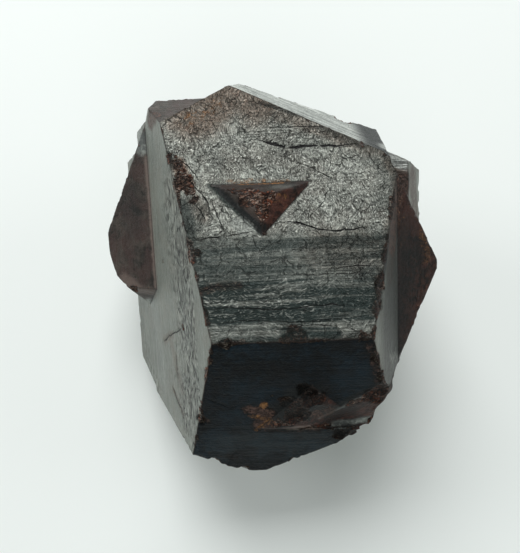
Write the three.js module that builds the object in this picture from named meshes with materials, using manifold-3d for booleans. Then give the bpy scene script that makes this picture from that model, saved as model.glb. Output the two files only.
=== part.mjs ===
// A pyrite "iron cross" twin: two crystals of the twelve-faced pyrite form (each face a pentagon),
// grown through each other a quarter turn apart about the height. The main crystal gives most of the
// faces. Its partner shows only where it sticks out: a low pyramid on each of the two front
// faces, a lens on each side, and a ridge behind the upper left edge. They grew as one body, so
// this is one solid. It lies on its flat back face, with its largest face up.
// Millimetres, +Z up.
import * as THREE from "three";
import { mergeVertices } from "three/addons/utils/BufferGeometryUtils.js";
import Module from "manifold-3d";

const wasm = await Module();
wasm.setup();

// ---- Driving dimensions ----
// A crystal face is [normal, distance]. The normal is in the crystal's own axes: X is its width,
// Y runs from its front ridge to its back, Z is its height. The distance runs along the normal
// from the middle of the front ridge, where the two large front faces meet.

// The distance from the large upper front face to the back face it is parallel to.
const THICKNESS = 35.6;
// The left and right side faces, each this far from the middle of the front ridge.
const SIDE = 8.5;
// The rear side faces, which close the crystal behind its left and right edges.
const REAR_LEFT = 36.6;
const REAR_RIGHT = 26.3;
// The partner crystal's left, upper and right-facing faces, shared by more than one of its tips.
const PARTNER_LEFT_RISE = 29.7;
const PARTNER_FRONT_LEFT = -4.0;
const PARTNER_FRONT_RIGHT = -1.9;
const PARTNER_ROOF_FRONT = 18.0;
const PARTNER_ROOF_BACK = 36.8;
// How far the pyramids' hidden bases sink into the main crystal.
const TIP_ROOT = 1;

const MAIN_CRYSTAL = [
  [[0, -2, 1], 0],
  [[0, -2, -1], 0],
  [[0, 2, -1], THICKNESS],
  [[0, 2, 1], 39.8],
  [[-2, -1, 0], SIDE],
  [[2, -1, 0], SIDE],
  [[-2, 1, 0], REAR_LEFT],
  [[2, 1, 0], REAR_RIGHT],
  [[-1, 0, 2], 31.3],
  [[1, 0, 2], 25.1],
  [[-1, 0, -2], 22.4],
  [[1, 0, -2], 17.4],
  [[0, 0, -1], 21.5],
];

// What stands out of the main crystal: its partner's tips, and ledges of later growth. Each is a
// small convex crystal whose last faces lie inside the main one.
const OUTGROWTHS = {
  upper_pyramid: [
    [[-1, -2, 0], PARTNER_FRONT_LEFT],
    [[1, -2, 0], -6.7],
    [[0, -1, 2], 12.3],
    [[0, 2, -1], TIP_ROOT],
  ],
  lower_pyramid: [
    [[-1, -2, 0], PARTNER_FRONT_LEFT],
    [[1, -2, 0], PARTNER_FRONT_RIGHT],
    [[0, -1, -2], 9.2],
    [[0, 2, 1], TIP_ROOT],
  ],
  left_lens: [
    [[-1, -2, 0], -9.2],
    [[-1, 2, 0], 40],
    [[-2, 0, 1], PARTNER_LEFT_RISE],
    [[-4, 0, -1], 24.4],
    [[-1, 0, -1], 15.1],
    [[-1, -2, -2], -9],
    [[0, -1, 2], PARTNER_ROOF_FRONT],
    [[0, 1, 2], PARTNER_ROOF_BACK],
    [[0, 2, -1], THICKNESS - 3],
    [[1, 0, 0], -17],
  ],
  right_lens: [
    [[1, -2, 0], PARTNER_FRONT_RIGHT],
    [[1, 2, 0], 33.7],
    [[2, 0, 1], 21.1],
    [[2, 0, -1], 15.2],
    [[1, 0, 0], 20],
    [[0, -2, 1], 0],
    [[1, 0, 2], 25],
    [[0, 2, -1], THICKNESS - 3],
    [[-1, 0, 0], -10],
  ],
  upper_left_ridge: [
    [[0, -1, 2], PARTNER_ROOF_FRONT],
    [[0, 1, 2], PARTNER_ROOF_BACK],
    [[-2, 0, 1], PARTNER_LEFT_RISE],
    [[-2, -1, 0], SIDE],
    [[-2, 1, 0], REAR_LEFT],
    [[0, -2, 1], 0],
    [[0, 1, 0], 30],
    [[1, 0, 0], -8],
    [[0, 0, -1], -18],
  ],
  upper_left_shoulder: [
    [[-1, 0, 2], 33.5],
    [[-2, -1, 0], SIDE],
    [[-2, 1, 0], 30.6],
    [[0, 1, 2], 37],
    [[1, 0, 0], -19],
    [[0, 0, -1], -14],
  ],
  upper_right_ledge: [
    [[2, -2, 5], 19.3],
    [[1, 1, 3], 33.1],
    [[0, -2, 1], 0],
    [[2, -1, 0], SIDE],
    [[-1, 0, 2], 31.3],
    [[-1, 0, 0], 9],
    [[1, 0, 0], 13.6],
    [[0, 1, 0], 21],
    [[0, 0, -1], -14],
  ],
  rear_right_ledge: [
    [[2, -2, 5], 18.6],
    [[1, 0, 2], 25.8],
    [[2, -1, 0], SIDE],
    [[2, 1, 0], REAR_RIGHT],
    [[0, -1, 0], -14.4],
    [[0, 1, 0], 26],
    [[-1, 0, 0], -10],
    [[0, 0, -1], -8],
  ],
};

// The notch between the large upper face's right corner and the rear right ledge.
const NOTCH = [
  [[2, 0, 1], 21.2],
  [[0, -1, 0], -14.4],
  [[0, 0, 1], 12],
];

// Breakage at the lower right: the scar of a broken-off flake, then two plain broken corners.
const BREAKS = [
  [
    [[0.2, -1, -0.8], 3.3],
    [[0, 1, 2], -9.25],
  ],
  [[[4, -1, -2], 12.9]],
  [[[0.72, -0.6, -1], 11.5]],
];

// Larger than the whole specimen, so that a block of this size cuts right across it.
const BLOCK = 240;

// ---- Shapes ----

// The solid that a closed three.js geometry bounds.
function solidOf(geometry) {
  const bare = geometry.toNonIndexed();
  bare.deleteAttribute("normal");
  bare.deleteAttribute("uv");
  const merged = mergeVertices(bare);
  return new wasm.Manifold(new wasm.Mesh({
    numProp: 3,
    vertProperties: new Float32Array(merged.attributes.position.array),
    triVerts: new Uint32Array(merged.index.array),
  }));
}

// Everything within reach on the outer side of a face.
function beyond([normal, distance]) {
  const outward = new THREE.Vector3(...normal).normalize();
  const turn = new THREE.Quaternion().setFromUnitVectors(new THREE.Vector3(0, 0, 1), outward);
  const centre = outward.clone().multiplyScalar(distance + BLOCK / 2);
  const block = new THREE.BoxGeometry(BLOCK, BLOCK, BLOCK);
  block.applyQuaternion(turn);
  block.translate(centre.x, centre.y, centre.z);
  return solidOf(block);
}

// The convex crystal that the faces enclose.
function crystal(faces) {
  const rough = solidOf(new THREE.BoxGeometry(BLOCK / 2, BLOCK / 2, BLOCK / 2));
  return faces.reduce((body, face) => body.subtract(beyond(face)), rough);
}

// What is missing from a corner: the space on the outer side of every one of the faces.
function gap(faces) {
  return faces.map(beyond).reduce((space, block) => space.intersect(block));
}

function twin() {
  const main = crystal(MAIN_CRYSTAL).subtract(gap(NOTCH));
  const grown = Object.values(OUTGROWTHS).reduce((body, faces) => body.add(crystal(faces)), main);
  return BREAKS.reduce((body, faces) => body.subtract(gap(faces)), grown);
}

function geometryOf(solid) {
  const { vertProperties, triVerts } = solid.getMesh();
  const geometry = new THREE.BufferGeometry();
  geometry.setAttribute("position", new THREE.BufferAttribute(vertProperties, 3));
  geometry.setIndex(new THREE.BufferAttribute(triVerts, 1));
  return geometry;
}

// Lays the crystal on its back face and puts the origin under the middle of its outline.
function layDown(geometry) {
  geometry.rotateX(-Math.atan2(2, 1));
  geometry.computeBoundingBox();
  const { min, max } = geometry.boundingBox;
  geometry.translate(-(min.x + max.x) / 2, -(min.y + max.y) / 2, -min.z);
}

// ---- The part ----

const twinGeometry = geometryOf(twin());
layDown(twinGeometry);

const limonite = new THREE.MeshStandardMaterial({ color: 0x4a4540, roughness: 0.45, metalness: 0.35 });
const twinCrystal = new THREE.Mesh(twinGeometry, limonite);
twinCrystal.name = "twin_crystal";

const part = new THREE.Group();
part.add(twinCrystal);

export default part;
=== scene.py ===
"""The looks of a pyrite twin crystal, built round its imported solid.

The twin's flat-faced solid is copied to a fine mesh. Chips, broken places, cracks and growth lines
are pressed into that mesh, and each crystal face gets its own procedural skin. Lengths are in
millimetres until a mesh or object is made, and metres there, as in the frame.
"""

import math
from types import SimpleNamespace

import bmesh
import bpy
import numpy as np
from mathutils import Matrix, Vector
from mathutils.kdtree import KDTree


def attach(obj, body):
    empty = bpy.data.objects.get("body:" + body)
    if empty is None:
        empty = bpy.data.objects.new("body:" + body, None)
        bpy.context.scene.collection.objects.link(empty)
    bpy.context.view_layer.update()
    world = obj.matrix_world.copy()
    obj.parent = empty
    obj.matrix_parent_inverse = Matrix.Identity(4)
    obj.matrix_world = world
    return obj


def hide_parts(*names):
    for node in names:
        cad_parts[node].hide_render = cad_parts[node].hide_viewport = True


MM = 0.001
NODE = "twin_crystal"

# The crystal's height axis leans back by this angle in the part.
LEAN = math.atan2(2, 1)
SIN_LEAN = math.sin(LEAN)
COS_LEAN = math.cos(LEAN)

# Where the camera stands, what it looks along and which way is up in its picture.
CAMERA_AT = (2.474, -26.688, 104.792)
CAMERA_LOOKS = (-0.029, 0.296, -0.954)
CAMERA_UP = (0.040, 0.955, 0.295)
CAMERA_LENS = 39.06
CAMERA_SENSOR = 36.0


# ---- Noise ----


def scatter(cells, seed):
    """An even random number from -1 to 1 for each whole-number cell."""
    mixed = cells[:, 0] * 73856093 ^ cells[:, 1] * 19349663 ^ cells[:, 2] * 83492791
    mixed = (mixed + seed * 1013904223) & 0x7FFFFFFF
    mixed = ((mixed ^ (mixed >> 15)) * 1103515245 + 12345) & 0x7FFFFFFF
    mixed = ((mixed ^ (mixed >> 13)) * 1664525 + 1013904223) & 0x7FFFFFFF
    return (mixed ^ (mixed >> 16)) / float(0x3FFFFFFF) - 1


def smooth_noise(points, seed):
    """Soft noise from -1 to 1 with one hump or dip to a unit of length."""
    cells = np.floor(points).astype(np.int64)
    part = points - cells
    ease = part * part * (3 - 2 * part)
    total = np.zeros(len(points))
    for corner in np.ndindex(2, 2, 2):
        share = np.prod(np.where(corner, ease, 1 - ease), axis=1)
        total += share * scatter(cells + np.array(corner), seed)
    return total


def cloud(points, size, seed, octaves=3):
    """Noise whose largest lumps are about size across, with finer ones on them."""
    total = np.zeros(len(points))
    for octave in range(octaves):
        total += 0.5**octave * smooth_noise(points * (2**octave / size), seed + octave)
    return total / 1.5


def rise(values, low, high):
    """0 below low, 1 above high, and a smooth step between them."""
    share = np.clip((values - low) / (high - low), 0, 1)
    return share * share * (3 - 2 * share)


# ---- Crystal directions ----


def to_part(direction):
    """A direction in the crystal's axes, turned into the part's frame, one unit long."""
    across, back, height = direction
    turned = np.array((across, back * COS_LEAN + height * SIN_LEAN, height * COS_LEAN - back * SIN_LEAN))
    return turned / np.linalg.norm(turned)


TOP = (0, -2, 1)
FRONT = (0, -2, -1)
LEFT = (-2, -1, 0)
RIGHT = (2, -1, 0)
LEDGE = (2, -2, 5)
# The faces that are all breakage: the scar and the two broken corners.
SCAR = (0.2, -1, -0.8)
BROKEN_CORNERS = [(4, -1, -2), (0.72, -0.6, -1)]

# Each skin, and the ways that the faces with that skin look. Any other face takes the skin of the
# direction nearest its own.
SKIN_FACES = {
    "silver": [TOP],
    # The front face's blue-black skin, whose near-black colour is partly painted shade for the dark
    # surroundings that the face mirrors.
    "night": [FRONT, (0, 2, -1)],
    "slate": [LEFT, RIGHT, (0, 0, -1), (-2, 1, 0), (2, 1, 0), (-1, 0, 2), (1, 0, 2), (-1, 0, -2),
              (1, 0, -2), (0, 2, 1)],
    # The ledges and the notch's upper facet, whose light colour is partly painted light for the light that
    # they catch at a grazing angle.
    "pale": [LEDGE, (1, 1, 3), (0, -1, 0)],
    "umber": [(-1, -2, 0), (0, -1, 2), (0, 1, 2), (-2, 0, 1), (-4, 0, -1), (-1, 0, -1), (-1, 2, 0),
              (-1, -2, -2)],
    "russet": [(1, -2, 0), (1, 2, 0), (2, 0, 1), (2, 0, -1), (1, 0, 0), (0, -1, -2),
               SCAR, *BROKEN_CORNERS],
}
SKIN_NAMES = list(SKIN_FACES)


# ---- Objects and the fine mesh ----


def new_object(name, data):
    """An object with this mesh, light or camera, in the scene."""
    made = bpy.data.objects.new(name, data)
    bpy.context.scene.collection.objects.link(made)
    return made


# The remesher lays a cubic grid of this many halvings over the body, which fills this share of it.
GRID_HALVINGS = 7
GRID_SHARE = 0.91
# Faces that turn at least this much towards the camera's place get four times as many facets.
NEAR_TURN = 0.08


def welded(mesh):
    """The mesh's points and faces, with points that coincide made one."""
    shell = bmesh.new()
    shell.from_mesh(mesh)
    bmesh.ops.remove_doubles(shell, verts=shell.verts, dist=1e-4 * MM)
    return shell


def even_mesh(cad):
    """An even mesh with the solid's own flat faces and sharp edges."""
    coarse = cad.data.copy()
    shell = welded(coarse)
    shell.to_mesh(coarse)
    shell.free()
    blank = new_object("blank", coarse)
    remesh = blank.modifiers.new("fine", "REMESH")
    remesh.mode = "SHARP"
    remesh.octree_depth = GRID_HALVINGS
    remesh.scale = GRID_SHARE
    graph = bpy.context.evaluated_depsgraph_get()
    mesh = bpy.data.meshes.new_from_object(blank.evaluated_get(graph))
    bpy.data.objects.remove(blank)
    bpy.data.meshes.remove(coarse)
    return mesh


def fine_mesh(cad):
    """The even mesh in triangles, finer on the side that is seen from the camera's place."""
    mesh = even_mesh(cad)
    eye = Vector(CAMERA_AT) * MM
    fine = bmesh.new()
    fine.from_mesh(mesh)
    fine.normal_update()
    near = set()
    for face in fine.faces:
        towards = (eye - face.calc_center_median()).normalized()
        if face.normal.dot(towards) > NEAR_TURN:
            near.update(face.edges)
    near = sorted(near, key=lambda edge: edge.index)
    bmesh.ops.subdivide_edges(fine, edges=near, cuts=1, use_grid_fill=True)
    bmesh.ops.triangulate(fine, faces=fine.faces)
    fine.to_mesh(mesh)
    fine.free()
    return mesh


def read_points(mesh, field):
    """The mesh's vertex positions or normals as rows of three numbers."""
    flat = np.empty(len(mesh.vertices) * 3, np.float32)
    mesh.vertices.foreach_get(field, flat)
    return flat.reshape(-1, 3).astype(float)


def read_facets(mesh):
    """Each facet's three vertex numbers."""
    flat = np.empty(len(mesh.polygons) * 3, np.int32)
    mesh.polygons.foreach_get("vertices", flat)
    return flat.reshape(-1, 3)


# ---- The solid's planes and edges ----

# Smaller planes (mm2), narrower faces and shorter edges (mm) are slivers between the solid's cuts.
SMALLEST_PLANE = 0.05
NARROWEST_FACE = 0.3
SHORTEST_EDGE = 0.1
# Faces that meet at less than this are one flat face, and at less than this there is no sharp edge.
FLAT_TURN = math.radians(2)
SHARP_TURN = math.radians(4)


def solid_planes(cad):
    """The outward normals, distances (mm) and areas (mm2) of the solid's different planes."""
    areas = {}
    for face in cad.data.polygons:
        reach = face.normal.dot(face.center) / MM
        row = tuple(round(value, 2) for value in (*face.normal, reach))
        areas[row] = areas.get(row, 0) + face.area / MM**2
    kept = [row for row in sorted(areas) if areas[row] > SMALLEST_PLANE]
    rows = np.array(kept)
    normals = rows[:, :3] / np.linalg.norm(rows[:, :3], axis=1)[:, None]
    return normals, rows[:, 3], np.array([areas[row] for row in kept])


def solid_edges(cad):
    """The solid's sharp edges in mm: both ends, the mean outward direction, and the turn there in
    radians, which is positive where the edge stands out and negative where it is a valley."""
    shell = welded(cad.data)
    bmesh.ops.dissolve_degenerate(shell, edges=shell.edges, dist=1e-3 * MM)
    bmesh.ops.dissolve_limit(shell, verts=shell.verts, edges=shell.edges, angle_limit=FLAT_TURN)
    shell.normal_update()
    rows = []
    for edge in shell.edges:
        wide = all(face.calc_area() > (NARROWEST_FACE * MM) ** 2 for face in edge.link_faces)
        if len(edge.link_faces) == 2 and wide and edge.calc_length() > SHORTEST_EDGE * MM:
            turn = edge.calc_face_angle_signed()
            if abs(turn) > SHARP_TURN:
                first, second = (np.array(vertex.co) / MM for vertex in edge.verts)
                outward = edge.link_faces[0].normal + edge.link_faces[1].normal
                rows.append((first, second, np.array(outward.normalized()), turn))
    shell.free()
    return rows


def line_distance(points, first, second):
    """Each point's distance to a straight line between two points, and its place along it."""
    run = second - first
    along = np.clip((points - first) @ run / (run @ run), 0, 1)
    return np.linalg.norm(points - first - along[:, None] * run, axis=1), along


# What each point is marked with, among them painted shade ("shade"), painted shade in the low spots of
# breaks, and pale marks ("pale", "rim") that are in places painted light. "crack" is the distance to the
# nearest crack, with a sign for its side. "ridge" and "valley" are the distances to the nearest edges that
# stand out and that don't (mm).
MASKS = [
    "broken", "brown", "ochre", "shade", "pale", "rim", "lined", "wrinkled", "sunk", "crack", "crack_width",
    "ridge", "valley",
]
# A point's distance to an edge, before any edge has been measured (mm).
FAR = 9.0
# Two directions are the same one where the cosine between them is above this.
SAME_WAY = 0.9995
# Sets each face's noise this far apart from the next face's.
FACE_STEP = 7.3
# A point on a face may lie this far off its plane, and loses its own facing this near an edge (mm).
FACE_SLACK = 0.05
EDGE_ZONE = 0.3


class Body:
    """The fine mesh's points in mm, which way they face, and what has happened to them."""

    def __init__(self, mesh, cad):
        self.rest = read_points(mesh, "co") / MM
        self.points = self.rest.copy()
        self.outward = read_points(mesh, "normal")
        self.facets = read_facets(mesh)
        self.planes, self.reaches, self.areas = solid_planes(cad)
        self.edges = solid_edges(cad)
        count = len(self.points)
        for mask in MASKS:
            setattr(self, mask, np.zeros(count))
        self.crack[:] = 1
        self.ridge[:] = FAR
        self.valley[:] = FAR
        for first, second, _, turn in self.edges:
            nearest = self.ridge if turn > 0 else self.valley
            nearest[:] = np.minimum(nearest, line_distance(self.rest, first, second)[0])
        self.tree = KDTree(count)
        for number, point in enumerate(self.rest):
            self.tree.insert(point, number)
        self.tree.balance()
        self.facet_plane = self.find_planes()
        self.plane = np.zeros(count, int)
        self.plane[self.facets.ravel()] = np.repeat(self.facet_plane, 3)
        self.along, self.across = self.find_lays()
        self.large_height = self.reaches[self.widest(TOP)]

    def find_planes(self):
        """The number of the plane that each facet lies in."""
        corners = self.rest[self.facets]
        centre = corners.mean(axis=1)
        facing = np.cross(corners[:, 1] - corners[:, 0], corners[:, 2] - corners[:, 0])
        facing /= np.maximum(np.linalg.norm(facing, axis=1), 1e-12)[:, None]
        misfit = np.abs(centre @ self.planes.T - self.reaches)
        return np.argmin(misfit + 4 * (1 - facing @ self.planes.T), axis=1)

    def find_lays(self):
        """The directions along and across each plane's growth lines."""
        axes = [to_part(axis) for axis in ((1, 0, 0), (0, 1, 0), (0, 0, 1))]
        along = []
        for normal in self.planes:
            line = axes[int(np.argmin([abs(normal @ axis) for axis in axes]))]
            if normal @ to_part(LEDGE) > SAME_WAY:
                line = np.cross(normal, to_part(TOP))
            line = line - (line @ normal) * normal
            along.append(line / np.linalg.norm(line))
        return np.array(along), np.cross(self.planes, np.array(along))

    def lay(self, points, plane):
        """Each point's place along and across its plane's growth lines (mm), and the plane's own
        number, which keeps its noise apart from the other planes'."""
        along = np.einsum("px,px->p", points, self.along[plane])
        across = np.einsum("px,px->p", points, self.across[plane])
        return np.stack((along, across, plane * FACE_STEP), axis=1)

    def widest(self, direction):
        """The number of the widest plane that looks in this direction."""
        return np.argmax(np.where(self.planes @ to_part(direction) > SAME_WAY, self.areas, -1))

    def face(self, direction):
        """How far each point lies in front of the widest plane that looks in this direction."""
        number = self.widest(direction)
        return self.rest @ self.planes[number] - self.reaches[number]

    def on_face(self, direction):
        """Whether each point lies in the widest plane that looks in this direction."""
        turned = self.outward @ to_part(direction) > 0.6
        same = self.planes[self.plane] @ to_part(direction) > 0.99
        same |= np.minimum(self.ridge, self.valley) < EDGE_ZONE
        return (np.abs(self.face(direction)) < FACE_SLACK) & turned & same

    def near(self, centre, radius):
        """The numbers of the points within this distance of a place."""
        return np.array([row[1] for row in self.tree.find_range(centre, radius)], int)


def chip(body, centre, outward, radius, depth, seed, rough=0.3):
    """Breaks a shallow bowl out of the body, with a floor as rough as that share of its depth. With
    no roughness it only rubs a corner flat."""
    near = body.near(centre, 1.4 * radius)
    outward = outward / np.linalg.norm(outward)
    away = body.rest[near] - centre
    spread = np.linalg.norm(away, axis=1) / radius
    spread *= 1 + 0.55 * cloud(body.rest[near], 0.9 * radius, seed + 9)
    if rough:
        floor = depth * (spread**2 - 1)
        floor += depth * rough * np.clip(1 - spread, 0, 1) * cloud(body.rest[near], radius * 0.5, seed)
    else:
        floor = -depth
    cut = np.clip((body.points[near] - centre) @ outward - floor, 0, None)
    body.points[near] -= cut[:, None] * outward
    if rough:
        body.broken[near] = np.maximum(body.broken[near], rise(cut, 0.02, 0.14))


def lift(body, line):
    """A line's points in the part. Points with two numbers lie on the large face."""
    if len(line[0]) == 2:
        return np.array([(x, y, body.large_height) for x, y in line], float)
    return np.array(line, float)


def polyline_distance(points, line, facing):
    """Each point's distance to a bent line, the side it is on, and its place along the line."""
    best = np.full(len(points), 99.0)
    side = np.ones(len(points))
    place = np.zeros(len(points))
    lengths = np.linalg.norm(np.diff(line, axis=0), axis=1)
    starts = np.concatenate(([0], np.cumsum(lengths)))
    for number, (first, second) in enumerate(zip(line, line[1:])):
        distance, along = line_distance(points, first, second)
        turned = np.cross(second - first, points - first) @ facing
        closer = distance < best
        best = np.where(closer, distance, best)
        side = np.where(closer, np.where(turned < 0, -1.0, 1.0), side)
        place = np.where(closer, starts[number] + along * lengths[number], place)
    return best, side, place / starts[-1]


def paint(body, mask, strength, reach, line, face=None):
    """Raises one of the body's masks near a line, with an uneven outline, or lowers it where the
    strength is negative. It marks one face, if that is given. Otherwise a line of two-number points
    marks the large face alone, and the other lines never do."""
    marked = body.on_face(face or TOP) == (face is not None or len(line[0]) == 2)
    line = lift(body, line)
    if len(line) == 1:
        line = np.vstack((line, line + 0.01))
    distance, _, _ = polyline_distance(body.rest, line, np.ones(3))
    seed = int(reach * 100) + len(mask)
    uneven = 1 + 0.35 * cloud(body.rest, max(reach, 0.8), seed)
    amount = strength * (1 - rise(distance, 0.35 * reach * uneven, reach * uneven)) * marked
    values = getattr(body, mask)
    if strength > 0:
        values[:] = np.maximum(values, amount)
    else:
        values[:] = values + amount


# A crack is drawn within this distance of its line (mm), and only where no other crack is as near,
# give or take CRACK_GAP.
CRACK_REACH = 0.42
CRACK_GAP = 0.2


def split(body, face, width, line):
    """Opens a crack along a line on one face: a dark mark, and a shallow groove."""
    line = lift(body, line)
    facing = to_part(face)
    middle = line.mean(axis=0)
    reach = np.linalg.norm(line - middle, axis=1).max() + 1.5
    near = body.near(middle, reach)
    near = near[body.on_face(face)[near]]
    points = body.rest[near]
    warp = np.stack([cloud(points, 1.1, 51 + axis, 2) for axis in range(3)], axis=1)
    distance, side, place = polyline_distance(points + 0.22 * warp, line, facing)
    ends = np.clip(5 * np.minimum(place, 1 - place), 0.25, 1)
    pinch = 0.75 + 0.5 * cloud(points, 1.3, 57, 2)
    before = np.abs(body.crack[near])
    body.crack_width[near[np.abs(distance - before) < CRACK_GAP]] = 0
    closer = distance < before
    changed = near[closer]
    body.crack[changed] = (side * np.minimum(distance, 0.99))[closer]
    alone = (distance < CRACK_REACH) & (before - distance > CRACK_GAP)
    body.crack_width[changed] = (1.5 * width * ends * pinch * alone)[closer]
    groove = 1.3 * width * ends * np.exp(-((distance / (0.12 + width)) ** 2))
    body.points[near] -= groove[:, None] * facing


def fill(body, reach, line, direction):
    """Raises the hollow behind the front face, near a line, to a plane through that line."""
    line = np.array(line, float)
    direction = np.array(direction, float) / np.linalg.norm(direction)
    distance, _, _ = polyline_distance(body.rest, line, np.ones(3))
    inside = (distance < reach) & (body.face(FRONT) < -0.05)
    level = line[0] @ direction + 0.12 * cloud(body.rest, 1.0, 91)
    short = np.clip(level - body.points @ direction, 0, None)
    body.points[inside] += short[inside, None] * direction


# ---- What happened to the crystal ----

# How strongly some edges are worn, by the two faces that meet there, and how strongly the others
# are. Chips stand about this far apart (mm), and only edges that turn more than this are chipped.
WORN_EDGES = [
    (TOP, FRONT, 1.5),
    (TOP, RIGHT, 1.8),
    (TOP, LEFT, 1.6),
    (LEFT, FRONT, 1.3),
    (FRONT, RIGHT, 2.0),
]
USUAL_WEAR = 0.75
CHIP_SPACING = 0.9
CHIPPED_TURN = math.radians(10)
# How far from an edge its rounding reaches, and how much it takes off (mm).
ROUNDING_REACH = 0.35
ROUNDING_DEPTH = 0.07

# The larger breaks: the way that they look, how rough their floors are, and each one's place, radius
# and depth. Breaks with no roughness are corners rubbed flat.
BREAKS = [
    # The upper pyramid's broken peak.
    ((0, -0.1, 1), 0.9, (1.3, 4.3, 37.4, 2.3, 0.95)),
    ((-0.1, -0.4, 1), 0.9, (1, 2.6, 36.9, 1.3, 0.45)),
    ((-0.2, 0, 1), 0.9, (-0.6, 5.2, 37, 2.1, 0.75)),
    ((-0.3, 0.1, 1), 0.9, (-2.7, 6, 36.7, 1.6, 0.55)),
    ((0.3, 0.1, 1), 0.9, (3.9, 5.4, 37, 1.5, 0.5)),
    ((-0.2, -0.4, 1), 0.9, (0.6, 2.9, 36.9, 1.5, 0.5)),
    ((-0.4, -0.2, 1), 0.9, (-1.2, 4.3, 36.7, 1.5, 0.5)),
    # The wedge out of the large face's left edge.
    ((-0.3, 0, 1), 1,
        (-9.9, 11.5, 35.8, 0.7, 0.3), (-9.5, 10.3, 35.8, 0.9, 0.45), (-9, 9.1, 35.8, 1.15, 0.6),
        (-8.4, 7.9, 35.8, 1.3, 0.65), (-8, 6.6, 35.8, 1.2, 0.55), (-7.5, 5.3, 35.8, 0.9, 0.4),
        (-7, 4.2, 35.8, 0.6, 0.25),
    ),
    # The left lens's rounded outer corner.
    ((-0.894, 0.2, -0.4), 0, (-23.9, 7.2, 18.9, 4, 0.6)),
    # The left side's rounded outer corner.
    ((-0.8, -0.55, -0.1), 0, (-20.6, -10.8, 3.5, 4.5, 0.75)),
    # The lower pyramid's broken crest and the pit beside it.
    ((-0.2, -0.5, 0.8), 0.9, (5.6, -19.2, 28.8, 2, 1.1)),
    ((-0.3, -0.6, 0.8), 0.9, (3.6, -20.3, 27.4, 2.3, 0.7)),
    ((-0.2, -0.7, 0.7), 0.9, (4.6, -21.4, 25.6, 1.8, 0.4)),
    ((-0.3, -0.7, 0.7), 0.9, (1.6, -21.4, 25.6, 1.6, 0.4)),
    ((0.1, -0.5, 0.8), 0.9, (7.6, -19.3, 28.6, 1.4, 0.6)),
    # The scar's shallow steps.
    ((0.1, -0.9, 0.5), 1.1, (8.4, -21, 26.3, 2.1, 0.45), (11.9, -20.2, 26.6, 2.2, 0.5)),
    ((0.2, -0.9, 0.5), 1.1, (14.8, -18.6, 27.2, 1.8, 0.45)),
    # The layered chips at the front face's right end, and two above the scar.
    ((0.2, -0.8, 0.6), 1, (11.5, -22.9, 22.7, 1.3, 0.4)),
    ((0.1, -0.8, 0.6), 1, (9.8, -23.3, 22.1, 1, 0.3)),
    ((0.3, -0.8, 0.6), 1, (12.7, -22.6, 22.8, 0.9, 0.35)),
    ((0.5, -0.8, 0.5), 1, (13.6, -15.2, 33.2, 1, 0.35), (14.4, -17.2, 30.6, 1.1, 0.4)),
    # Pieces out of the front face's lower left edge.
    ((-0.3, -0.9, -0.2), 0.6, (-7.3, -26.2, 18.6, 1.1, 0.5)),
    ((-0.7, -0.7, 0.2), 0.6, (-7.9, -21, 25.4, 0.9, 0.3)),
    ((0.1, -0.9, -0.5), 0.6, (-3.4, -27.2, 17, 0.8, 0.3)),
    # Steps along the upper right ledge.
    ((0.3, 0.9, 0.2), 0.4, (8.2, 21.2, 31, 1.6, 0.5)),
    ((0.4, 0.9, 0.2), 0.4, (12.6, 18.9, 30.4, 1.5, 0.5)),
    # The crumbled edge between the large face and the right side.
    ((0.7, 0, 0.8), 0.9,
        (16.8, 2, 35.7, 1.2, 0.4), (15.6, -3.4, 35.7, 1.5, 0.5), (14.7, -7, 35.7, 1.7, 0.65),
    ),
    ((0.7, -0.1, 0.8), 0.9, (14.1, -9.8, 35.7, 1.4, 0.5)),
    # A pit on the large face near its left edge, and one on the left side.
    ((0, 0, 1), 0.6, (-7.3, -1.9, 35.6, 0.7, 0.35)),
    ((-0.9, -0.2, 0.4), 0.5, (-10.3, -9.3, 27, 0.5, 0.3), (-13.3, 1.2, 24.3, 0.45, 0.2)),
]

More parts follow.
